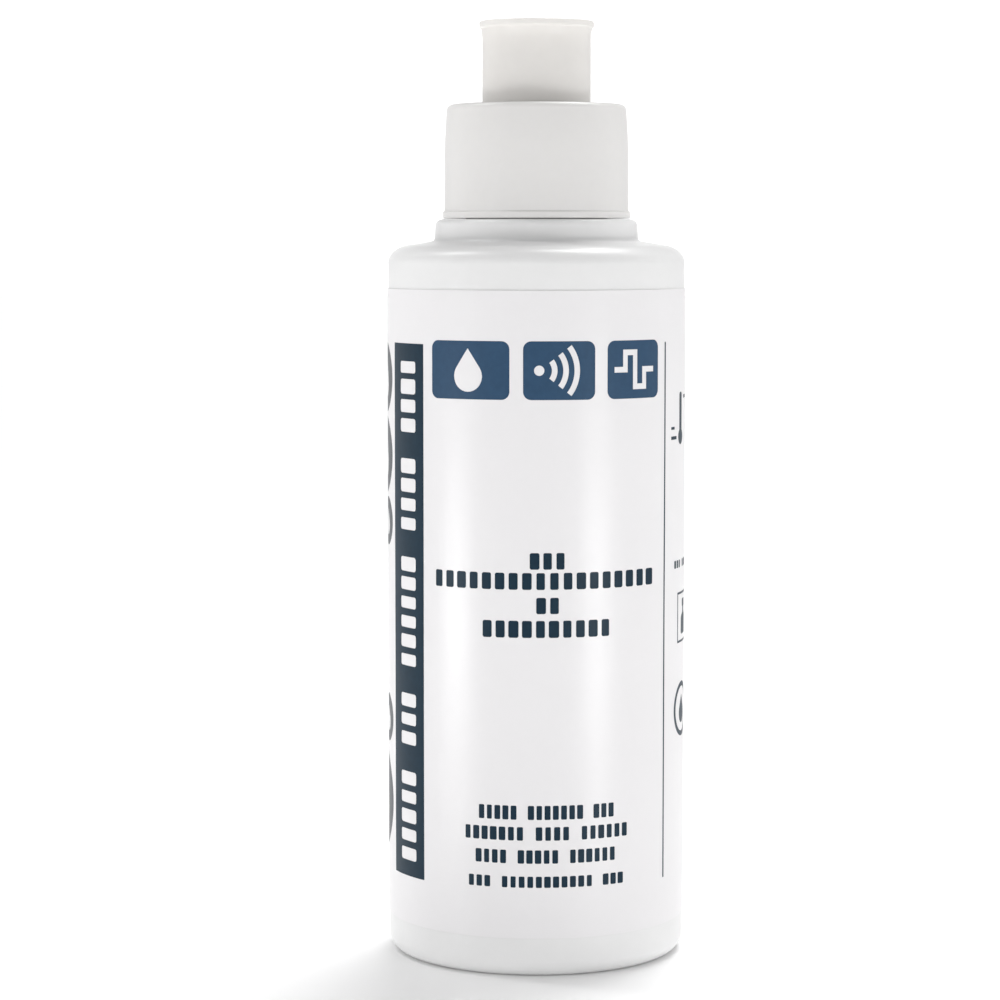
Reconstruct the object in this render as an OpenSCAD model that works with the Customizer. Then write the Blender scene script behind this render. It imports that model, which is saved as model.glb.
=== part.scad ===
// Squeeze bottle of contact gel with a screw cap and a push-pull spout.
// Millimetres. +Z is up, the origin is the centre of the base, and the label's front faces -Y.

/* [Bottle] */
// Outside diameter of the bottle's side wall, under the label
body_d = 53.7; // [50:0.1:58]
// Height of the shoulder where it meets the step under the cap
shoulder_z = 129.6; // [120:0.1:160]
// Thickness of the blown wall
wall = 1; // [0.8:0.1:1.3]
// Radius of the rounded edge at the foot
foot_r = 2.8; // [2:0.1:4]
// Height of the hollow under the base
push_up = 2.4; // [1.5:0.1:3]

/* [Neck] */
// Diameter of the step between shoulder and cap
step_d = 36.8; // [35.5:0.1:38]
// Height of that step above the shoulder
step_h = 3.9; // [3:0.1:5]
// Diameter of the neck between its threads
neck_d = 25.1; // [25:0.1:25.4]
// Bore of the neck
bore_d = 21; // [20.6:0.1:21.4]
// Height of the neck above the step
neck_h = 18; // [18:0.1:20]

/* [Thread] */
// Rise of the thread in one turn
lead = 4.233; // [4:0.001:4.4]
// Turns of thread, which is also how far the cap unscrews
turns = 1.5; // [1:0.25:1.5]
// Height of the thread's ridge above the neck
ridge = 1.1; // [0.9:0.1:1.2]
// Play between the cap's thread and the neck's, along each flank
flank_gap = 0.12; // [0.1:0.01:0.2]

/* [Cap] */
// Diameter of the cap's skirt at its foot
cap_d = 33.4; // [33.2:0.1:35]
// Diameter of the cap's skirt at its top edge
cap_top_d = 32.4; // [32:0.1:33]
// Thickness of the cap's top
deck = 1.6; // [1.4:0.1:2]
// Thickness of the foam liner under the cap's top
liner_t = 1; // [0.8:0.1:1.2]

/* [Spout] */
// Outside diameter of the sliding spout
spout_d = 19.6; // [19.4:0.1:22]
// Diameter of the spout's finger lip
lip_d = 20.7; // [20.2:0.1:23]
// Height of the spout's tip above the cap
spout_h = 14.9; // [14.5:0.1:16]
// How far the spout pulls up
travel = 6; // [5:0.1:6]
// Diameter of the outlet in the spout's tip
outlet_d = 5.5; // [5:0.1:6]

/* [Label and gel] */
// Height of the label's lower edge above the table
label_z = 7.1; // [5:0.1:12]
// Height of the label
label_h = 114; // [60:0.5:114]
// Thickness of the label film
label_t = 0.13; // [0.1:0.01:0.2]
// Gap between the label's two ends at the back
label_gap = 1.2; // [0.5:0.1:4]
// Height of the gel's surface above the table
gel_z = 122.6; // [60:0.1:122.6]

/* [Hidden] */

round_fn = 180;          // segments of a preview circle
steps = 7;               // segments of a quarter round in an outline
fine_steps = 3;          // segments of a small edge's quarter round

// Bottle, from the foot up
body_r = body_d / 2;
stand_w = 3.55;          // width of the ring that the bottle stands on
arch_r = body_r - foot_r - stand_w;
shoulder_rx = 4.5;       // the shoulder's edge is an ellipse, wider than high
shoulder_rz = 3.3;
shoulder_rise = 0.7;     // how far the shoulder climbs from its edge to the step
shoulder_edge = shoulder_z - shoulder_rise - shoulder_rz;
fillet = 0.5;            // where the step grows out of the shoulder
step_r = step_d / 2;
step_top = shoulder_z + step_h;
step_round = 1.2;        // rounded upper edge of the step
step_draft = 0.25;       // the step is this much slimmer at its top
neck_r = neck_d / 2;
bore_r = bore_d / 2;
neck_top = step_top + neck_h;
mouth_round = 0.4;       // rounded edge of the neck's mouth
film_gap = 0.02;         // glue between label and bottle
gel_gap = 0.1;           // between the gel and the wall

// Thread: the cap's ridge hangs under the neck's, and both follow the same helix
turn_steps = 30;         // segments of one turn
flank = 0.45;            // spread of a flank along Z for each step towards its root
crest_w = 0.9;           // width of the flat crest
sunk = 0.5;              // depth of the root below its wall
crest_gap = 0.3;         // between the neck's crest and the cap's sleeve
thread_end = 2.25;       // from the thread's upper end to the mouth
thread_z = neck_top - thread_end - lead * turns;
sleeve_r = neck_r + ridge + crest_gap;
tip_gap = 0.1;           // taken off the cap's ridge so that it clears the neck
sleeve_ridge = ridge - tip_gap;
crest_overlap = ridge + sleeve_ridge - (sleeve_r - neck_r);
thread_drop = crest_w + flank * crest_overlap + flank_gap;

// Cap: a smooth skirt around a threaded sleeve
skirt_gap = 0.3;         // between the step and the skirt
skirt_t = 0.9;
skirt_z = step_top + skirt_gap;
sleeve_t = 0.85;
sleeve_rise = 1.6;       // from the skirt's foot up to the sleeve's
sleeve_z = skirt_z + sleeve_rise;
deck_z = neck_top + liner_t;
cap_top = deck_z + deck;
cap_round = 1.1;
bead_h = 1.1;            // bead around the skirt's foot
bead_w = 0.3;
bead_round = 0.2;
seal_t = 1;              // ring that plugs the mouth of the neck
seal_r = bore_r - 0.2;
seal_h = 3.2;
seal_lead = 0.8;         // height of the ring's lead-in chamfer
seal_lead_in = 0.4;      // width of that chamfer
seal_z = deck_z - seal_h;

// Spout, and the chimney that it slides on
slide_gap = 0.15;        // running clearance
spout_wall = 0.95;
snap = 0.45;             // height of the beads that stop the spout
snap_h = 1.2;
spout_r = spout_d / 2;
inner_r = spout_r - spout_wall;
chimney_r = inner_r - snap;
chimney_wall = 1.2;
chimney_h = 9;
chimney_bore = chimney_r - chimney_wall;
chimney_top = cap_top + chimney_h;
stop_play = 0.1;         // left between the two beads at the end of the travel
catch_z = chimney_top - snap_h - snap - travel - stop_play;
spout_z = cap_top + 0.2;
spout_top = cap_top + spout_h;
lip_r = lip_d / 2;
lip_h = 1;               // upright edge of the lip
flare_h = 1.5;           // height over which the wall opens into the lip
dish_z = spout_top - 3.2;
dish_t = 1.2;            // thickness of the dish around the nozzle
outlet_r = outlet_d / 2;
nozzle_r = outlet_r + 1;
nozzle_top = spout_top - 0.7;
edge_round = 0.25;       // rounded edges of the lip and the nozzle
pin_r = outlet_r - slide_gap;
pin_top = nozzle_top - 0.3;
pin_round = 0.8;
spokes = 3;              // they carry the pin and let the gel past
spoke_t = 1.6;
spoke_h = 2;

// Points along an arc about (cx, cz), from angle a to angle b. An ellipse has two radii.
function arc(cx, cz, rx, rz, a, b, n = steps) =
    [for (i = [0 : n]) let (t = a + (b - a) * i / n) [cx + rx * cos(t), cz + rz * sin(t)]];

// Quarter round of radius r at the outer, upper corner of a section
function corner(x, z, r, n = steps) = arc(x - r, z - r, r, r, 0, 90, n);

// Solid of revolution about Z, from an outline of [radius, height] points
module lathe(outline) {
    rotate_extrude($fn = round_fn) polygon(outline);
}

// Section of a helical ridge at the angle t: its corners at the root and at the crest
function ridge_section(t, z, root, crest, half_root) =
    [for (p = [[root, -half_root], [crest, -crest_w / 2], [crest, crest_w / 2], [root, half_root]])
        [p[0] * cos(t), p[0] * sin(t), z + p[1]]];

// How much of a ridge stands out at the share s of its length: it runs in and out over a tenth
function run_out(s) = min(1, 10 * s, 10 * (1 - s));

// Helical ridge from the height z up, on a wall of radius r, which fades into the wall at both ends.
// A negative height makes it an inner thread, which stands inward.
module thread(z, r, height) {
    n = round(turns * turn_steps);
    root = r - sunk * sign(height);
    hidden = r - 0.1 * sign(height);
    half_root = crest_w / 2 + flank * (abs(height) + sunk);
    rings = [for (i = [0 : n]) let (s = i / n, crest = hidden + (r + height - hidden) * run_out(s))
        ridge_section(360 * turns * s, z + lead * turns * s, root, crest, half_root)];
    points = [for (ring = rings) for (p = ring) p];
    sides = [for (i = [0 : n - 1]) for (k = [0 : 3]) let (a = 4 * i + k, b = 4 * i + (k + 1) % 4)
        each [[a, b, b + 4], [a, b + 4, a + 4]]];
    ends = [[3, 2, 1], [3, 1, 0], [4 * n, 4 * n + 1, 4 * n + 2], [4 * n, 4 * n + 2, 4 * n + 3]];
    faces = concat(sides, ends);
    polyhedron(points, height < 0 ? [for (f = faces) [f[2], f[1], f[0]]] : faces);
}

// The bottle's outside, from the hollow under the base to the mouth
module bottle_outside() {
    lathe(concat(
        [[0, push_up]],
        arc(0, 0, arch_r, push_up, 80, 0),
        arc(body_r - foot_r, foot_r, foot_r, foot_r, -90, 0),
        arc(body_r - shoulder_rx, shoulder_edge, shoulder_rx, shoulder_rz, 0, 90),
        [[step_r + fillet, shoulder_z], [step_r, shoulder_z + fillet]],
        corner(step_r - step_draft, step_top, step_round),
        [[neck_r, step_top]],
        corner(neck_r, neck_top, mouth_round, fine_steps),
        [[0, neck_top]]
    ));
}

// The space inside the bottle up to the height top, with gap left along the wall
module bottle_inside(top, gap = 0) {
    t = wall + gap;
    floor_z = push_up + t;
    floor_edge = body_r - foot_r - 0.3;
    step_in = step_r - t;
    step_ceiling = step_top - t;
    dome_r = arch_r + 0.6 + gap;
    dome_end = 12 + gap / floor_z * 180 / PI;
    intersection() {
        lathe(concat(
            [[0, floor_z]],
            arc(0, 0, dome_r, floor_z, 80, dome_end),
            arc(floor_edge, foot_r + t, body_r - t - floor_edge, foot_r - 0.2, -70, 0),
            arc(body_r - shoulder_rx, shoulder_edge, shoulder_rx - t, shoulder_rz - t, 0, 90),
            [[step_in, shoulder_z - t + 0.2]],
            corner(step_in, step_ceiling, step_round),
            [[bore_r - gap, step_ceiling], [bore_r - gap, neck_top + 1], [0, neck_top + 1]]
        ));
        cylinder(h = top, r = body_r, $fn = round_fn);
    }
}

module bottle() {
    color("white") {
        difference() {
            bottle_outside();
            bottle_inside(neck_top + 1);
        }
        thread(thread_z, neck_r, ridge);
    }
}

module wrap_label() {
    inner = body_r + film_gap;
    half_gap = label_gap / 2 / inner * 180 / PI;
    color("whitesmoke") rotate([0, 0, 90 + half_gap])
        rotate_extrude(angle = 360 - 2 * half_gap, $fn = round_fn)
            translate([inner, label_z]) square([label_t, label_h]);
}

module gel_fill() {
    color("lightblue") bottle_inside(gel_z, gel_gap);
}

module cap_liner() {
    color("gainsboro") translate([0, 0, neck_top]) difference() {
        cylinder(h = liner_t, r = sleeve_r - ridge - 0.15, $fn = round_fn);
        translate([0, 0, -1]) cylinder(h = liner_t + 2, r = seal_r + 0.4, $fn = round_fn);
    }
}

// Sleeve, skirt, top and mouth plug of the cap, as one outline that starts at the sleeve's foot
module cap_shell() {
    foot = cap_d / 2;
    top = cap_top_d / 2;
    bead = foot + bead_w;
    lathe(concat(
        [[sleeve_r, sleeve_z], [sleeve_r + sleeve_t, sleeve_z], [sleeve_r + sleeve_t, deck_z]],
        [[top - skirt_t, deck_z], [foot - skirt_t, skirt_z]],
        [[bead - bead_round, skirt_z], [bead, skirt_z + bead_round]],
        corner(bead, skirt_z + bead_h, bead_round, fine_steps),
        [[foot, skirt_z + bead_h]],
        corner(top, cap_top, cap_round),
        [[chimney_bore, cap_top], [chimney_bore, deck_z], [seal_r - seal_t, deck_z]],
        [[seal_r - seal_t, seal_z], [seal_r - seal_lead_in, seal_z], [seal_r, seal_z + seal_lead]],
        [[seal_r, deck_z], [sleeve_r, deck_z]]
    ));
}

// Tube that the spout slides on, with the bead that stops it
module chimney() {
    base = cap_top - 0.5;
    lathe([
        [chimney_bore, base], [chimney_r, base],
        [chimney_r, chimney_top - snap_h - snap], [chimney_r + snap - slide_gap, chimney_top - snap_h],
        [chimney_r + snap - slide_gap, chimney_top - snap], [chimney_r, chimney_top],
        [chimney_bore, chimney_top]
    ]);
}

// Pin that plugs the outlet, on spokes across the opening in the cap's top
module pin() {
    lathe(concat(
        [[0, deck_z], [pin_r, deck_z]],
        corner(pin_r, pin_top, pin_round, fine_steps),
        [[0, pin_top]]
    ));
    for (i = [0 : spokes - 1])
        rotate([0, 0, 90 + 360 / spokes * i])
            translate([pin_r - 1, -spoke_t / 2, deck_z])
                cube([chimney_bore - pin_r + 1.3, spoke_t, spoke_h]);
}

module screw_cap() {
    color("white") {
        cap_shell();
        chimney();
        pin();
        thread(thread_z - thread_drop, sleeve_r, -sleeve_ridge);
    }
}

module pull_spout() {
    catch_r = chimney_r + slide_gap;
    color("floralwhite") lathe(concat(
        [[catch_r, spout_z + snap], [inner_r, spout_z], [spout_r, spout_z]],
        [[spout_r, spout_top - lip_h - flare_h], [spout_r + 0.2, spout_top - lip_h - 0.5]],
        [[lip_r, spout_top - lip_h]],
        corner(lip_r, spout_top, edge_round, fine_steps),
        arc(lip_r - 3 * edge_round, spout_top - edge_round, edge_round, edge_round, 90, 180, fine_steps),
        [[spout_r - 1.3, dish_z + 0.8], [spout_r - 2, dish_z]],
        [[nozzle_r + 0.9, dish_z], [nozzle_r + 0.3, dish_z + 0.6]],
        corner(nozzle_r, nozzle_top, edge_round, fine_steps),
        [[outlet_r, nozzle_top], [outlet_r, dish_z - dish_t]],
        [[inner_r - 0.8, dish_z - dish_t], [inner_r, dish_z - dish_t - 0.8]],
        [[inner_r, catch_z + snap], [catch_r, catch_z]]
    ));
}

bottle();
wrap_label();
gel_fill();
cap_liner();
screw_cap();
pull_spout();
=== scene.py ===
"""Gel bottle: refined shells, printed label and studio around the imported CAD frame."""

import math
import random

import bmesh
import bpy
import numpy as np
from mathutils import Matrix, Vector
from mathutils.geometry import delaunay_2d_cdt


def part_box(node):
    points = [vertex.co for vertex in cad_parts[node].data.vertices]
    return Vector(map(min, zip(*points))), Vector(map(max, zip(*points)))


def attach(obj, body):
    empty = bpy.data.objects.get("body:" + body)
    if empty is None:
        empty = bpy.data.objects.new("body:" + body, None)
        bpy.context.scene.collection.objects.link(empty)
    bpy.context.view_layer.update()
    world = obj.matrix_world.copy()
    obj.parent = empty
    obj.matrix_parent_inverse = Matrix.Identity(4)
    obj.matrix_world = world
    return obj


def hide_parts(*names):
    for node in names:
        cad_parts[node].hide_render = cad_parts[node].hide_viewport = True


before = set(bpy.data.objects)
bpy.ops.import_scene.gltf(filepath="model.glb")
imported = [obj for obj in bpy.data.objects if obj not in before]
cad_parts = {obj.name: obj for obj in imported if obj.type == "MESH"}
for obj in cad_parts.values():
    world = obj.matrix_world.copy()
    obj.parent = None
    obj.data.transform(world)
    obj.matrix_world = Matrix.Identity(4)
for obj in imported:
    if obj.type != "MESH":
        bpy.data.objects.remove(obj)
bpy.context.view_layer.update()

MM = 0.001
rng = random.Random(7)


# ---------------------------------------------------------------- sizes, in millimetres

def edge(node, corner, axis):
    """One face of a CAD node's box, in millimetres. corner 0 is the lowest and 1 the highest."""
    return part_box(node)[corner][axis] / MM


BODY_R = edge("bottle", 1, 0)
NECK_TOP = edge("bottle", 1, 2)
LABEL_R = edge("wrap_label", 1, 0)
LABEL_Z0, LABEL_Z1 = edge("wrap_label", 0, 2), edge("wrap_label", 1, 2)
DECK_Z = edge("cap_liner", 1, 2)
SKIRT_Z = edge("screw_cap", 0, 2)
PIN_TOP = edge("screw_cap", 1, 2)
BEAD_R = edge("screw_cap", 1, 0)
SPOUT_Z, SPOUT_TOP = edge("pull_spout", 0, 2), edge("pull_spout", 1, 2)
LIP_R = edge("pull_spout", 1, 0)

WALL = 1.0
FOOT_R = 2.8
STAND_W = 3.55
PUSH_UP = 2.4
ARCH_R = BODY_R - FOOT_R - STAND_W
SHOULDER_RX, SHOULDER_RZ = 4.5, 3.3
SHOULDER_Z = 129.6
SHOULDER_EDGE = SHOULDER_Z - 0.7 - SHOULDER_RZ
STEP_R, STEP_TOP, STEP_ROUND = 18.4, 133.5, 1.2
NECK_R, BORE_R = 12.55, 10.5
LABEL_T = 0.13
LABEL_GAP = 1.2

LEAD, TURNS = 4.233, 1.5
CREST_W, FLANK, SUNK = 0.9, 0.45, 0.4
NECK_RIDGE, CAP_RIDGE = 1.1, 1.0
THREAD_END = 2.25
THREAD_Z = NECK_TOP - THREAD_END - LEAD * TURNS
THREAD_DROP = 1.83

DECK_T, CHIMNEY_H = 1.6, 9.0
CAP_TOP = DECK_Z + DECK_T
CAP_FOOT_R, CAP_MID_R, CAP_TOP_R = 16.7, 16.62, 16.2
CAP_MID_Z, CAP_CROWN = 147.0, 40.0  # where the skirt bows out, and the radius of that bow
SKIRT_T = 0.9
SKIRT_FOOT = SKIRT_Z - 0.17
BEAD_H = 1.1
SLEEVE_R, SLEEVE_T, SLEEVE_Z = 13.95, 0.85, SKIRT_Z + 1.6
SEAL_R, SEAL_T, SEAL_Z = 10.3, 1.0, DECK_Z - 3.2
CHIMNEY_R, CHIMNEY_BORE, CHIMNEY_TOP = 8.4, 7.2, CAP_TOP + CHIMNEY_H
SPOKES, SPOKE_W, SPOKE_H = 3, 1.6, 2.0
SPOUT_R, SPOUT_INNER = 9.8, 8.85
SNAP, SNAP_H, SNAP_EDGE = 0.45, 1.2, 0.45  # stop bead: its slope, its height and the rounding above it
STOP_DROP = SNAP_H + SNAP
STOP_R, CATCH_R = CHIMNEY_R + 0.3, 8.55
TRAVEL, STOP_PLAY = 6.0, 0.1
DISH_H = 3.2
OUTLET_R, PIN_R = 2.75, 2.6


# ---------------------------------------------------------------- outlines

def arc(cx, cz, rx, rz, a, b, n):
    """Points of an elliptic arc from angle a to angle b, in degrees."""
    turns = np.radians(np.linspace(a, b, n + 1))
    return [(cx + rx * math.cos(t), cz + rz * math.sin(t)) for t in turns]


def rounded(corners, closed=False, turn=8):
    """The outline through corners of (radius, height, rounding), each corner an arc of that rounding."""
    points, n = [], len(corners)
    for i, (x, z, r) in enumerate(corners):
        if r == 0 or (not closed and i in (0, n - 1)):
            points.append((x, z))
            continue
        here = Vector((x, z))
        before = (Vector(corners[i - 1][:2]) - here).normalized()
        after = (Vector(corners[(i + 1) % n][:2]) - here).normalized()
        half = before.angle(after) / 2
        centre = here + (before + after).normalized() * (r / math.sin(half))
        start = here + before * (r / math.tan(half)) - centre
        end = here + after * (r / math.tan(half)) - centre
        sweep = math.atan2(start.x * end.y - start.y * end.x, start.dot(end))
        count = max(2, math.ceil(abs(math.degrees(sweep)) / turn))
        first = math.atan2(start.y, start.x)
        for k in range(count + 1):
            t = first + sweep * k / count
            points.append((centre.x + r * math.cos(t), centre.y + r * math.sin(t)))
    return points


def stretch(a, b, n):
    """n points between two outline points, without the ends."""
    return [(a[0] + (b[0] - a[0]) * k / (n + 1), a[1] + (b[1] - a[1]) * k / (n + 1)) for k in range(1, n + 1)]


# ---------------------------------------------------------------- meshes

def finished(name, verts, faces, sharp=38):
    """A smooth-shaded object from vertices in millimetres, with edges over the angle sharp kept crisp."""
    mesh = bpy.data.meshes.new(name)
    mesh.from_pydata([tuple(v) for v in np.asarray(verts, float) * MM], [], faces)
    bm = bmesh.new()
    bm.from_mesh(mesh)
    bmesh.ops.remove_doubles(bm, verts=bm.verts, dist=1e-7)
    bmesh.ops.recalc_face_normals(bm, faces=bm.faces)
    bm.to_mesh(mesh)
    bm.free()
    mesh.polygons.foreach_set("use_smooth", [True] * len(mesh.polygons))
    mesh.set_sharp_from_angle(angle=math.radians(sharp))
    obj = bpy.data.objects.new(name, mesh)
    bpy.context.scene.collection.objects.link(obj)
    return obj


def lathe(name, outline, angles=None, relief=None, relief_points=0, sharp=38):
    """A solid of revolution. The outline runs round the material with it on the left. relief(angle, z) moves the
    first relief_points points outward. Angles are measured from the front, -Y, towards +X."""
    if angles is None:
        angles = np.linspace(0, 2 * math.pi, 240, endpoint=False)
    verts, rings = [], []
    for i, (r, z) in enumerate(outline):
        if r < 1e-6:
            rings.append([len(verts)])
            verts.append((0, 0, z))
            continue
        rings.append(list(range(len(verts), len(verts) + len(angles))))
        for t in angles:
            out = r + (relief(t, z) if relief and i < relief_points else 0)
            verts.append((out * math.sin(t), -out * math.cos(t), z))
    faces, n = [], len(angles)
    on_axis = len(rings[0]) == 1 and len(rings[-1]) == 1
    pairs = list(zip(rings, rings[1:])) + ([] if on_axis else [(rings[-1], rings[0])])
    for a, b in pairs:
        for k in range(n):
            m = (k + 1) % n
            if len(a) == 1:
                faces.append((a[0], b[m], b[k]))
            elif len(b) == 1:
                faces.append((a[k], a[m], b[0]))
            else:
                faces.append((a[k], a[m], b[m], b[k]))
    return finished(name, verts, faces, sharp)


def helix(name, z, wall, height):
    """A screw thread's ridge, as a closed sweep. A negative height stands inward."""
    side = 1 if height > 0 else -1
    root = wall - SUNK * side
    half_root = CREST_W / 2 + FLANK * (abs(height) + SUNK)
    steps, run_in = 140, 9
    verts, faces = [], []
    for i in range(steps + 1):
        s = i / steps
        rise = min(1.0, run_in * s, run_in * (1 - s))
        rise = rise * rise * (3 - 2 * rise)
        crest = wall - 0.15 * side + (height + 0.15 * side) * rise
        section = [(root, -half_root), (crest - 0.12 * side, -CREST_W / 2 - 0.04), (crest, -CREST_W / 2 + 0.14),
                   (crest, CREST_W / 2 - 0.14), (crest - 0.12 * side, CREST_W / 2 + 0.04), (root, half_root)]
        t = math.pi / 2 + 2 * math.pi * TURNS * s
        for r, dz in section:
            verts.append((r * math.sin(t), -r * math.cos(t), z + LEAD * TURNS * s + dz))
    m = len(section)
    for i in range(steps):
        for k in range(m):
            a, b = i * m + k, i * m + (k + 1) % m
            faces.append((a, b, b + m, a + m))
    faces.append(tuple(range(m)))
    faces.append(tuple(steps * m + k for k in range(m)))
    return finished(name, verts, faces, 50)


def bar(size, centre, turn, bevel):
    """Vertices and faces of a box with bevelled edges, turned about Z by turn radians round the axis."""
    bm = bmesh.new()
    bmesh.ops.create_cube(bm, size=1)
    bmesh.ops.scale(bm, vec=size, verts=bm.verts)
    bmesh.ops.bevel(bm, geom=bm.edges[:], offset=bevel, segments=3, affect="EDGES", profile=0.5)
    bmesh.ops.translate(bm, vec=centre, verts=bm.verts)
    c, s = math.cos(turn), math.sin(turn)
    verts = [(v.co.x * c - v.co.y * s, v.co.x * s + v.co.y * c, v.co.z) for v in bm.verts]
    faces = [tuple(v.index for v in f.verts) for f in bm.faces]
    bm.free()
    return verts, faces


# ---------------------------------------------------------------- materials

def material(name, colour, roughness, grain, bump, mottle=0.03, **plain):
    """Plastic or ink: a Principled shader with procedural mottling, a patchy gloss and a fine surface bump.
    grain is the bump's frequency per metre, bump its depth in millimetres, and plain sets named sockets."""
    mat = bpy.data.materials.new(name)
    mat.use_nodes = True
    nodes, links = mat.node_tree.nodes, mat.node_tree.links
    shader = nodes["Principled BSDF"]
    shader.inputs["Subsurface Radius"].default_value = (1, 1, 1)
    for key, value in plain.items():
        shader.inputs[key.replace("_", " ")].default_value = value
    where = nodes.new("ShaderNodeTexCoord")

    def cloud(scale, detail, rough=0.5):
        tex = nodes.new("ShaderNodeTexNoise")
        tex.inputs["Scale"].default_value = scale
        tex.inputs["Detail"].default_value = detail
        tex.inputs["Roughness"].default_value = rough
        links.new(where.outputs["Object"], tex.inputs["Vector"])
        return tex.outputs["Fac"]

    def ramp(value, low, high, start=0.2, end=0.8):
        node = nodes.new("ShaderNodeMapRange")
        node.inputs["From Min"].default_value = start
        node.inputs["From Max"].default_value = end
        node.inputs["To Min"].default_value = low
        node.inputs["To Max"].default_value = high
        links.new(value, node.inputs["Value"])
        return node.outputs["Result"]

    mix = nodes.new("ShaderNodeMix")
    mix.data_type = "RGBA"
    mix.inputs["A"].default_value = (*[c * (1 - mottle) for c in colour], 1)
    mix.inputs["B"].default_value = (*[min(1, c * (1 + mottle)) for c in colour], 1)
    links.new(ramp(cloud(grain / 3, 2), 0, 1), mix.inputs["Factor"])
    links.new(mix.outputs["Result"], shader.inputs["Base Color"])
    links.new(ramp(cloud(50, 1), roughness - 0.03, roughness + 0.03), shader.inputs["Roughness"])

    coarse = nodes.new("ShaderNodeBump")
    coarse.inputs["Strength"].default_value = 1
    coarse.inputs["Distance"].default_value = bump * MM * 2
    links.new(cloud(70, 0), coarse.inputs["Height"])
    fine = nodes.new("ShaderNodeBump")
    fine.inputs["Strength"].default_value = 1
    fine.inputs["Distance"].default_value = bump * MM
    links.new(cloud(grain, 3, 0.6), fine.inputs["Height"])
    links.new(coarse.outputs["Normal"], fine.inputs["Normal"])
    links.new(fine.outputs["Normal"], shader.inputs["Normal"])
    return mat


MATERIALS = {
    "bottle_hdpe": material("bottle_hdpe", (0.74, 0.74, 0.74), 0.34, 1400, 0.010, mottle=0.008,
                            Subsurface_Weight=0.2, Subsurface_Scale=0.003, IOR=1.54),
    "label_film": material("label_film", (0.775, 0.765, 0.775), 0.33, 1800, 0.005, mottle=0.004,
                           Subsurface_Weight=0.1, Subsurface_Scale=0.002, IOR=1.50),
    "cap_pp": material("cap_pp", (0.70, 0.69, 0.68), 0.33, 1700, 0.008, mottle=0.008,
                       Subsurface_Weight=0.2, Subsurface_Scale=0.003, IOR=1.49),
    "spout_pp": material("spout_pp", (0.72, 0.70, 0.675), 0.33, 1500, 0.010, mottle=0.010,
                         Subsurface_Weight=0.25, Subsurface_Scale=0.003, IOR=1.50),
    "liner_foam": material("liner_foam", (0.78, 0.78, 0.75), 0.85, 5200, 0.06, mottle=0.05),
    "gel": material("gel", (0.55, 0.75, 0.85), 0.08, 300, 0.02, Coat_Weight=0.5, IOR=1.34),
    "label_ink": material("label_ink", (0.006, 0.023, 0.041), 0.40, 2600, 0.003, mottle=0.12,
                          Specular_IOR_Level=0.15),
    "label_ink_light": material("label_ink_light", (0.027, 0.066, 0.126), 0.40, 2600, 0.003, mottle=0.08,
                                Specular_IOR_Level=0.15),
    "label_grey": material("label_grey", (0.075, 0.083, 0.092), 0.40, 2600, 0.003, mottle=0.08,
                           Specular_IOR_Level=0.2),
}


def piece(obj, body, finish, *nodes):
    """Gives a piece its material and the body that it moves with, and hides the CAD nodes that it stands for."""
    obj.data.materials.append(MATERIALS[finish])
    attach(obj, body)
    if nodes:
        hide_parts(*nodes)
    return obj


# ---------------------------------------------------------------- bottle

def waves(t, z):
    """Slow, shallow waves of a blown wall, 0 to 1, at the angle t and the height z."""
    return 0.5 + 0.25 * math.sin(2 * t + z / 17) + 0.25 * math.sin(3 * t - z / 11 + 1.3)


def bottle_relief(t, z):
    """Waves of the blown wall outside the label, and the mould's parting line at both sides."""
    swell = 0.0
    if z < LABEL_Z0 or LABEL_Z1 < z < SHOULDER_EDGE + SHOULDER_RZ:
        away = min(abs(z - LABEL_Z0), abs(z - LABEL_Z1)) / 4
        swell = 0.04 * waves(t, z) * min(1, away)
    if LABEL_Z0 - 0.3 < z < LABEL_Z1 + 0.3 or z < 0.4 or z > STEP_TOP - 0.3:
        return swell
    off = abs(abs(math.atan2(math.sin(t), math.cos(t))) - math.pi / 2) * BODY_R
    return swell + 0.06 * math.exp(-(off / 0.16) ** 2)


def parting_angles(count=240):
    """Even angles round the bottle, with extra ones along the mould's parting line."""
    even = list(np.linspace(0, 2 * math.pi, count, endpoint=False))
    extra = [side + off / BODY_R for side in (math.pi / 2, 3 * math.pi / 2)
             for off in (-0.45, -0.3, -0.2, -0.1, 0.1, 0.2, 0.3, 0.45)]
    return sorted(even + extra)


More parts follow.
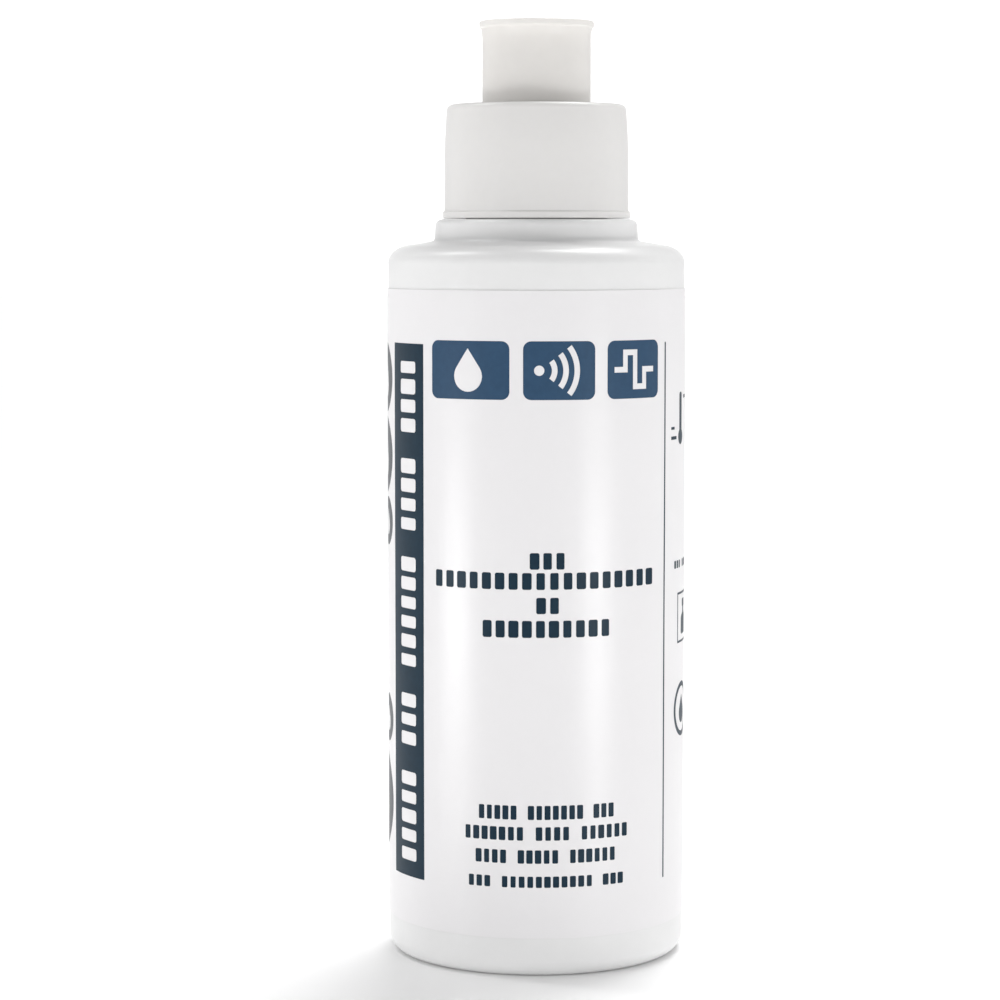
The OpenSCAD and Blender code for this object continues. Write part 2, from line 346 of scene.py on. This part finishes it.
def build_bottle():
    """The blown shell, from the hollow base up to the neck and back down inside, its thread and the base's weld."""
    dome = arc(0, 0, ARCH_R, PUSH_UP, 90, 16, 14)
    stand = rounded([(*dome[-1], 0), (ARCH_R + 0.15, 0, 0.5), (BODY_R - FOOT_R, 0, 0)])
    foot = arc(BODY_R - FOOT_R, FOOT_R, FOOT_R, FOOT_R, -88, 0, 14)
    shoulder = arc(BODY_R - SHOULDER_RX, SHOULDER_EDGE, SHOULDER_RX, SHOULDER_RZ, 0, 88, 18)
    step = rounded([(*shoulder[-1], 0), (STEP_R + 0.05, SHOULDER_Z, 0.7),
                    (STEP_R - 0.25, STEP_TOP, STEP_ROUND), (NECK_R, STEP_TOP, 0.5),
                    (NECK_R, NECK_TOP, 0.4), (BORE_R, NECK_TOP, 0.35), (BORE_R, STEP_TOP - WALL, 0)])
    outside = dome[:-1] + stand[:-1] + foot + stretch(foot[-1], shoulder[0], 24) + shoulder + step[1:]
    inner_foot = BODY_R - FOOT_R - 0.3
    inside = rounded([(BORE_R, STEP_TOP - WALL, 0), (STEP_R - WALL, STEP_TOP - WALL, 1.2),
                      (STEP_R - WALL, SHOULDER_Z - WALL + 0.2, 0)])[1:]
    inside += arc(BODY_R - SHOULDER_RX, SHOULDER_EDGE, SHOULDER_RX - WALL, SHOULDER_RZ - WALL, 90, 0, 10)
    inside += arc(inner_foot, FOOT_R + WALL, BODY_R - WALL - inner_foot, FOOT_R - 0.2, 0, -70, 8)
    inside += arc(0, 0, ARCH_R + 0.6, PUSH_UP + WALL, 12, 90, 12)
    outline = [(max(r, 0) if r > 1e-3 else 0, z) for r, z in outside + inside]
    shell = lathe("bottle_shell", outline, parting_angles(), bottle_relief, len(outside))
    piece(shell, "bottle", "bottle_hdpe", "bottle")
    piece(helix("neck_thread", THREAD_Z, NECK_R, NECK_RIDGE), "bottle", "bottle_hdpe", "bottle")
    piece(pinch_off(), "bottle", "bottle_hdpe")


def pinch_off():
    """The weld left across the hollow base where the mould pinched the plastic tube shut."""
    half, half_w, proud, count = 15.0, 0.55, 0.3, 48  # half length, half width, height and steps
    verts, faces = [], []
    for i in range(count + 1):
        x = -half + 2 * half * i / count
        dome_z = PUSH_UP * math.sqrt(1 - (x / ARCH_R) ** 2)
        low = dome_z - proud * min(1, 6 * (1 - abs(x) / half) + 0.1)
        ragged = 0.04 * math.sin(1.7 * x) * math.sin(0.9 * x + 1)
        rib, root = 0.62 * half_w, dome_z + 0.3
        section = [(half_w, root), (half_w, dome_z), (rib, low + 0.05 + ragged), (0, low + ragged),
                   (-rib, low + 0.05 + ragged), (-half_w, dome_z), (-half_w, root)]
        verts += [(x, y, z) for y, z in section]
    m = len(section)
    for i in range(count):
        faces += [(i * m + k, i * m + (k + 1) % m, (i + 1) * m + (k + 1) % m, (i + 1) * m + k) for k in range(m)]
    faces += [tuple(range(m)), tuple(count * m + k for k in range(m))]
    return finished("base_pinch_off", verts, faces, 50)


# ---------------------------------------------------------------- label film and print

def film_relief(t, z):
    """Slow waves of the label film, in millimetres."""
    return 0.035 * waves(t, z)


def build_label():
    """The film, from one end at the back round the front to the other."""
    half = math.pi - LABEL_GAP / 2 / LABEL_R
    columns = np.linspace(-half, half, 361)
    inner = LABEL_R - LABEL_T
    outline = [(inner, LABEL_Z0), (LABEL_R - 0.03, LABEL_Z0), (LABEL_R, LABEL_Z0 + 0.03)]
    outline += stretch((LABEL_R, LABEL_Z0), (LABEL_R, LABEL_Z1), 56)
    outline += [(LABEL_R, LABEL_Z1 - 0.03), (LABEL_R - 0.03, LABEL_Z1), (inner, LABEL_Z1)]
    m, verts, faces = len(outline), [], []
    for t in columns:
        for r, z in outline:
            out = r + (film_relief(t, z) if r > inner else 0)
            verts.append((out * math.sin(t), -out * math.cos(t), z))
    for i in range(len(columns) - 1):
        for k in range(m):
            a, b = i * m + k, i * m + (k + 1) % m
            faces.append((a, a + m, b + m, b))
    faces += [tuple(range(m)), tuple((len(columns) - 1) * m + k for k in range(m))]
    piece(finished("label_film", verts, faces, 30), "bottle", "label_film", "wrap_label")


def inside_loops(x, z, loops):
    """Even-odd test of a point against outlines, each with its box, so that an outline inside another is a hole."""
    hit = False
    for loop, (x0, z0, x1, z1) in loops:
        if not (x0 <= x <= x1 and z0 <= z <= z1):
            continue
        for (ax, az), (bx, bz) in zip(loop, loop[1:] + loop[:1]):
            if (az > z) != (bz > z) and x < ax + (z - az) * (bx - ax) / (bz - az):
                hit = not hit
    return hit


INK_T, INK_SUNK = 0.016, 0.02
CUT_X, CUT_Z = 0.8, 4.0  # spacing of the cuts across a print, so that it follows the round film


def ink(name, loops, finish):
    """A film of ink on the label, from outlines of (arc, height) in millimetres, with 0 at the middle of the front."""
    points = [p for loop in loops for p in loop]
    low = [min(p[i] for p in points) for i in (0, 1)]
    high = [max(p[i] for p in points) for i in (0, 1)]
    coords, edges = [], []
    for loop in loops:
        first = len(coords)
        coords += [Vector(p) for p in loop]
        edges += [(first + k, first + (k + 1) % len(loop)) for k in range(len(loop))]
    for x in np.arange(math.floor(low[0]) - 0.137, high[0] + CUT_X, CUT_X):
        edges.append((len(coords), len(coords) + 1))
        coords += [Vector((x, low[1] - 1)), Vector((x, high[1] + 1))]
    for z in np.arange(low[1] + 3.071, high[1] - 1, CUT_Z):
        edges.append((len(coords), len(coords) + 1))
        coords += [Vector((low[0] - 2, z)), Vector((high[0] + 2, z))]
    flat, _, tris, _, _, _ = delaunay_2d_cdt(coords, edges, [], 0, 1e-5)
    boxed = [(loop, (*map(min, zip(*loop)), *map(max, zip(*loop)))) for loop in loops]
    kept = [t for t in tris if inside_loops(*(sum(flat[i][k] for i in t) / 3 for k in (0, 1)), boxed)]
    used = sorted({i for t in kept for i in t})
    new = {i: k for k, i in enumerate(used)}
    n = len(used)
    verts = []
    for lift in (INK_T, -INK_SUNK):
        for i in used:
            t = flat[i][0] / LABEL_R
            r = LABEL_R + film_relief(t, flat[i][1]) + lift
            verts.append((r * math.sin(t), -r * math.cos(t), flat[i][1]))
    faces = [tuple(new[i] for i in t) for t in kept]
    sides = {(a, b) for f in faces for a, b in zip(f, f[1:] + f[:1])}
    faces += [tuple(n + i for i in reversed(f)) for f in faces]
    faces += [(b, a, a + n, b + n) for a, b in sorted(sides) if (b, a) not in sides]
    obj = finished(name, verts, faces, 30)
    outward = [Vector((v.co.x, v.co.y, 0)).normalized() for v in obj.data.vertices]
    obj.data.normals_split_custom_set_from_vertices(outward)
    return piece(obj, "bottle", finish)


def rect(x0, z0, x1, z1, r=0.0):
    """A rectangle, with its corners rounded by r."""
    if r == 0:
        return [(x0, z0), (x1, z0), (x1, z1), (x0, z1)]
    return rounded([(x0, z0, r), (x1, z0, r), (x1, z1, r), (x0, z1, r)], closed=True, turn=15)


def disc(x, z, r, n=28):
    """A circle of n points."""
    return arc(x, z, r, r, 0, 360 - 360 / n, n - 1)


def ring(x, z, outer, inner):
    """The two outlines of a round frame."""
    return [disc(x, z, outer, 48), disc(x, z, inner, 40)]


def bow(x, z, inner, outer, a, b):
    """A thick arc, as one closed outline."""
    return arc(x, z, outer, outer, a, b, 16) + arc(x, z, inner, inner, b, a, 16)


def drop(x, z, height):
    """A droplet that stands on (x, z)."""
    r = height * 0.36
    centre = z + r
    return arc(x, centre, r, r, -215, 35, 22) + [(x + 0.07 * height, z + 0.9 * height), (x, z + height),
                                                  (x - 0.07 * height, z + 0.9 * height)]


def stroke(points, width):
    """A polyline of level and upright runs, drawn with the given width."""
    h = width / 2
    left, right = [], []
    for i, p in enumerate(points):
        a = (Vector(p) - Vector(points[i - 1])).normalized() if i else None
        b = (Vector(points[i + 1]) - Vector(p)).normalized() if i + 1 < len(points) else None
        a, b = a or b, b or a
        na, nb = Vector((-a.y, a.x)), Vector((-b.y, b.x))
        corner = na + nb if abs(na.dot(nb)) < 0.5 else na
        left.append((p[0] + corner.x * h, p[1] + corner.y * h))
        right.append((p[0] - corner.x * h, p[1] - corner.y * h))
    return left + right[::-1]


def marks(x0, x1, z0, z1, words, upright=False):
    """A line of plain blocks that stands for words, each given by its number of blocks, between x0 and x1.
    With upright, the line runs up the label, and x0 to x1 is its height range instead."""
    gap = 1.1
    pitch = (x1 - x0) / (sum(words) + gap * (len(words) - 1))
    loops, x = [], x0
    for word in words:
        for _ in range(word):
            w = pitch * rng.uniform(0.60, 0.78)
            a, b = x + (pitch - w) / 2, x + (pitch + w) / 2
            r = min(w, z1 - z0) * 0.2
            loops.append(rect(z0, a, z1, b, r) if upright else rect(a, z0, b, z1, r))
            x += pitch
        x += gap * pitch
    return loops


BAND = (-33.2, 15.7, -22.7, 111.5)
SPOTS_EDGE = -34.8
RULE = (26.7, 15.6, 27.1, 111.8)
HEADING_Z = (102.1, 112.3)


def build_print():
    """The front panel: a band and a rule at its sides, three tiles as the heading, and lines of blocks."""
    band_text = marks(18.0, 109.0, -30.2, -25.0, [5, 3, 6, 4, 4], upright=True)
    ink("print_band", [rect(*BAND)] + band_text, "label_ink")
    ink("print_rule", [rect(*RULE)], "label_ink")

    z0, z1 = HEADING_Z
    mid = (z0 + z1) / 2
    tiles = [rect(-20.4, z0, -5.0, z1, 1.4), rect(-2.6, z0, 10.2, z1, 1.4), rect(12.6, z0, 24.5, z1, 1.4)]
    drops = [drop(-12.7, z0 + 1.3, 7.6)]
    sound = [disc(0.2, mid, 0.9)] + [bow(0.2, mid, r, r + 1.0, -38, 38) for r in (2.2, 4.2, 6.2)]
    pulse = [stroke([(14.0, mid), (16.3, mid), (16.3, z1 - 2.1), (18.5, z1 - 2.1), (18.5, z0 + 2.1),
                     (20.7, z0 + 2.1), (20.7, mid), (23.1, mid)], 1.0)]
    ink("print_heading", tiles + drops + sound + pulse, "label_ink_light")

    middle = [(-1.7, 5.1, 72.5, 75.4, [3]), (-20.0, 23.4, 68.95, 71.9, [18]),
              (-0.6, 4.1, 64.7, 67.55, [2]), (-10.2, 13.5, 60.5, 63.5, [10])]
    ink("print_lines_middle", [b for line in middle for b in marks(*line)], "label_ink")
    foot = [(-10.8, 14.3, 28.3, 30.8, [5, 7, 3]), (-13.5, 17.2, 24.6, 27.0, [7, 4, 6]),
            (-11.4, 14.6, 20.5, 22.9, [4, 5, 6]), (-12.8, 16.3, 16.2, 18.2, [3, 11, 3])]
    ink("print_lines_foot", [b for line in foot for b in marks(*line)], "label_ink")

    build_side_print()


def build_side_print():
    """Plain shapes that fill the side panels: spots on the left, small pictograms and lines on the right."""
    spots = []
    for z, r in ((105.0, 6.3), (91.0, 7.0), (79.0, 4.4), (43.0, 4.4), (28.0, 9.2)):
        x = SPOTS_EDGE - r
        spots += [disc(x, z, r, 48), drop(x, z - 0.58 * r, 1.16 * r)]
    ink("print_spots", spots, "label_grey")

    thermometer = [rounded([(33.6, 95.8, 0), (33.6, 102.6, 0.55), (35.2, 102.6, 0.55), (35.2, 95.8, 0)]) +
                   arc(34.4, 94.6, 1.45, 1.45, 56, -236, 20)]
    ticks = [rect(29.4, 94.2, 31.9, 94.8), rect(36.9, 101.4, 39.4, 102.0), rect(29.4, 96.0, 30.9, 96.5)]
    code = marks(31.0, 46.0, 70.9, 72.3, [3, 4, 3])
    frame_box = [rect(33.0, 57.2, 42.6, 66.4), rect(33.4, 57.6, 42.2, 66.0)]
    flask = [rounded([(35.6, 58.6, 0.5), (40.0, 58.6, 0.5), (40.0, 61.8, 0.9), (38.5, 62.6, 0.3), (38.5, 63.6, 0),
                      (39.0, 63.6, 0.1), (39.0, 65.0, 0.2), (36.6, 65.0, 0.2), (36.6, 63.6, 0.1), (37.1, 63.6, 0),
                      (37.1, 62.6, 0.3), (35.6, 61.8, 0.9)], closed=True, turn=15)]
    seal = ring(36.2, 45.0, 5.0, 4.1) + [drop(36.2, 42.4, 5.2)]
    lines = []
    for row in range(9):
        z = 103 - row * 2.6
        lines += marks(50, 79 - 3 * (row % 4), z, z + 1.1, [6, 4, 7, 5][: 3 + row % 2])
    for row in range(6):
        z = 66 - row * 2.6
        lines += marks(50, 80 - 4 * (row % 3), z, z + 1.1, [5, 7, 4, 6][: 3 + row % 2])
    x, bars = 52.0, []
    while x < 76:
        w = rng.choice((0.35, 0.35, 0.7, 1.0))
        bars.append(rect(x, 22, x + w, 36))
        x += w + rng.choice((0.35, 0.6, 0.9))
    ink("print_side_marks", thermometer + ticks + code + frame_box + flask + seal + lines + bars, "label_ink")

    left = []
    for row in range(12):
        z = 100 - row * 2.6
        left += marks(-80, -56 - 3 * (row % 3), z, z + 1.1, [5, 6, 4][: 2 + row % 2])
    ink("print_side_lines", left, "label_grey")


# ---------------------------------------------------------------- cap

def build_cap():
    """The cap's moulding, its thread, the pin that closes the outlet and the spokes that hold the pin."""
    foot_in, top_in = CAP_FOOT_R - SKIRT_T, CAP_TOP_R - SKIRT_T
    sleeve_out = SLEEVE_R + SLEEVE_T
    corners = [
        (SLEEVE_R, SLEEVE_Z, 0.2), (sleeve_out, SLEEVE_Z, 0.2), (sleeve_out, DECK_Z, 0.1), (top_in, DECK_Z, 0.1),
        (foot_in, SKIRT_FOOT, 0.15), (BEAD_R, SKIRT_FOOT, 0.25), (BEAD_R, SKIRT_Z + BEAD_H - 0.05, 0.3),
        (CAP_FOOT_R, SKIRT_Z + BEAD_H + 0.05, 0.12), (CAP_MID_R, CAP_MID_Z, CAP_CROWN), (CAP_TOP_R, CAP_TOP, 1.1),
        (CHIMNEY_R, CAP_TOP, 0.25), (CHIMNEY_R, CHIMNEY_TOP - STOP_DROP, 0.2), (STOP_R, CHIMNEY_TOP - SNAP_H, 0.15),
        (STOP_R, CHIMNEY_TOP - SNAP_EDGE, 0.2), (CHIMNEY_R, CHIMNEY_TOP, 0.15), (CHIMNEY_BORE, CHIMNEY_TOP, 0.3),
        (CHIMNEY_BORE, DECK_Z, 0.3), (SEAL_R - SEAL_T, DECK_Z, 0.2), (SEAL_R - SEAL_T, SEAL_Z, 0.3),
        (SEAL_R - 0.3, SEAL_Z, 0.2), (SEAL_R, SEAL_Z + 0.8, 0.3), (SEAL_R, DECK_Z, 0.1), (SLEEVE_R, DECK_Z, 0.2),
    ]
    piece(lathe("cap_shell", rounded(corners, closed=True)), "cap", "cap_pp", "screw_cap")
    piece(helix("cap_thread", THREAD_Z - THREAD_DROP, SLEEVE_R, -CAP_RIDGE), "cap", "cap_pp", "screw_cap")

    pin = rounded([(0, DECK_Z + 0.3, 0), (PIN_R - 0.3, DECK_Z, 0.3), (PIN_R, DECK_Z + 0.5, 0.3),
                   (PIN_R, PIN_TOP, 0.8), (0.55, PIN_TOP, 0.1), (0.45, PIN_TOP - 0.15, 0.1), (0, PIN_TOP - 0.15, 0)])
    piece(lathe("sealing_pin", pin, np.linspace(0, 2 * math.pi, 96, endpoint=False)), "cap", "cap_pp", "screw_cap")
    verts, faces = [], []
    spoke_length = CHIMNEY_BORE - PIN_R + 1.3
    for k in range(SPOKES):
        size = (spoke_length, SPOKE_W, SPOKE_H)
        centre = (PIN_R - 1 + spoke_length / 2, 0, DECK_Z + SPOKE_H / 2)
        turned, spoke_faces = bar(size, centre, math.pi / 2 + k * 2 * math.pi / SPOKES, 0.25)
        faces += [tuple(i + len(verts) for i in face) for face in spoke_faces]
        verts += turned
    piece(finished("pin_spokes", verts, faces), "cap", "cap_pp", "screw_cap")


def build_spout():
    """The sliding spout, with a dished tip round its outlet and a catch inside."""
    dish_z = SPOUT_TOP - DISH_H
    nozzle_r, nozzle_top = OUTLET_R + 1, SPOUT_TOP - 0.7
    catch_z = CHIMNEY_TOP - STOP_DROP - TRAVEL - STOP_PLAY
    corners = [
        (CATCH_R, SPOUT_Z + SNAP, 0.15), (SPOUT_INNER, SPOUT_Z, 0.15), (SPOUT_R, SPOUT_Z, 0.2),
        (SPOUT_R, SPOUT_TOP - 2.9, 4), (SPOUT_R + 0.22, SPOUT_TOP - 1.25, 0.5), (LIP_R, SPOUT_TOP - 1.0, 0.14),
        (LIP_R, SPOUT_TOP, 0.3), (LIP_R - 0.85, SPOUT_TOP, 0.3), (SPOUT_R - 1.25, dish_z + 0.6, 0.6),
        (SPOUT_R - 2, dish_z, 0.6), (nozzle_r + 0.9, dish_z, 0.5), (nozzle_r + 0.3, dish_z + 0.6, 0.4),
        (nozzle_r, nozzle_top, 0.3), (OUTLET_R, nozzle_top, 0.25), (OUTLET_R, dish_z - 1.2, 0.15),
        (SPOUT_INNER - 0.6, dish_z - 1.2, 0.4), (SPOUT_INNER, dish_z - 1.8, 0.4),
        (SPOUT_INNER, catch_z + SNAP, 0.2), (CATCH_R, catch_z, 0.15),
    ]
    piece(lathe("spout_shell", rounded(corners, closed=True)), "spout", "spout_pp", "pull_spout")


def dress_hidden_nodes():
    """The liner and the gel keep their CAD shapes, with their own materials."""
    for node, finish in (("cap_liner", "liner_foam"), ("gel_fill", "gel")):
        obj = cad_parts[node]
        obj.data.materials.clear()
        obj.data.materials.append(MATERIALS[finish])


# ---------------------------------------------------------------- studio

def area(name, place, target, size, power):
    """A rectangular light of the given size in metres and power in watts."""
    data = bpy.data.lights.new(name, "AREA")
    data.shape = "RECTANGLE"
    data.size, data.size_y = size
    data.energy = power
    obj = bpy.data.objects.new(name, data)
    obj.location = place
    obj.rotation_euler = (Vector(target) - Vector(place)).to_track_quat("-Z", "Y").to_euler()
    bpy.context.scene.collection.objects.link(obj)


def build_studio():
    """A pale floor, a soft white room with dimmer strips to both sides, a key light behind and four small lights."""
    mesh = bpy.data.meshes.new("floor")
    half = 6.0
    mesh.from_pydata([(-half, -half, 0), (half, -half, 0), (half, half, 0), (-half, half, 0)], [], [(0, 1, 2, 3)])
    floor = bpy.data.objects.new("floor", mesh)
    bpy.context.scene.collection.objects.link(floor)
    floor.data.materials.append(material("floor_white", (0.97, 0.97, 0.97), 0.5, 400, 0.01, mottle=0.004))

    world = bpy.data.worlds.new("studio")
    bpy.context.scene.world = world
    world.use_nodes = True
    nodes, links = world.node_tree.nodes, world.node_tree.links
    where = nodes.new("ShaderNodeTexCoord")
    axes = nodes.new("ShaderNodeSeparateXYZ")
    links.new(where.outputs["Generated"], axes.inputs["Vector"])
    round_y = nodes.new("ShaderNodeMapRange")
    round_y.inputs["From Min"].default_value = -1
    links.new(axes.outputs["Y"], round_y.inputs["Value"])
    walls = nodes.new("ShaderNodeValToRGB")
    walls.color_ramp.interpolation = "EASE"
    levels = [(-1.0, 0.55), (-0.55, 0.85), (0.45, 0.80), (0.70, 0.50), (0.93, 0.50), (0.975, 1.0)]
    stops = walls.color_ramp.elements
    for i, (y, level) in enumerate(levels):
        stop = stops.new((y + 1) / 2) if i else stops[0]
        stop.position, stop.color = (y + 1) / 2, (level, level, level, 1)
    stops.remove(stops[-1])
    links.new(round_y.outputs["Result"], walls.inputs["Fac"])
    links.new(walls.outputs["Color"], nodes["Background"].inputs["Color"])
    ceiling = nodes.new("ShaderNodeMapRange")
    ceiling.inputs["From Min"].default_value = 0.1
    ceiling.inputs["From Max"].default_value = 0.7
    ceiling.inputs["To Min"].default_value = 1.28
    ceiling.inputs["To Max"].default_value = 0.56
    links.new(axes.outputs["Z"], ceiling.inputs["Value"])
    links.new(ceiling.outputs["Result"], nodes["Background"].inputs["Strength"])

    sun = bpy.data.lights.new("key_back_right", "SUN")
    sun.energy = 1.95
    sun.angle = math.radians(26)
    key = bpy.data.objects.new("key_back_right", sun)
    key.rotation_euler = Vector((0.16, 0.42, 0.88)).to_track_quat("Z", "Y").to_euler()
    bpy.context.scene.collection.objects.link(key)
    area("top_left", (-0.30, 0.12, 0.62), (0, 0, 0.14), (0.07, 0.20), 0.75)
    area("top_right", (0.32, 0.16, 0.62), (0, 0, 0.14), (0.10, 0.32), 0.3)
    area("side_left", (-0.28, -0.15, 0.02), (0, 0, 0.01), (0.11, 0.08), 0.28)
    area("side_right", (0.24, -0.24, 0.02), (0, 0, 0.01), (0.11, 0.08), 0.315)


def build_camera():
    """The main view: a long lens at the height of the shoulder, tilted down a little."""
    tilt = 4.9
    data = bpy.data.cameras.new("camera")
    data.lens = 112.1
    data.sensor_width = 36.0
    camera = bpy.data.objects.new("camera", data)
    camera.location = (-0.0066, -0.567, 0.131)
    camera.rotation_euler = (math.radians(90 - tilt), 0, 0)
    bpy.context.scene.collection.objects.link(camera)
    bpy.context.scene.camera = camera
    bpy.context.scene.view_settings.view_transform = "Standard"


build_camera()
build_bottle()
build_label()
build_print()
build_cap()
build_spout()
dress_hidden_nodes()
build_studio()

bpy.context.view_layer.update()
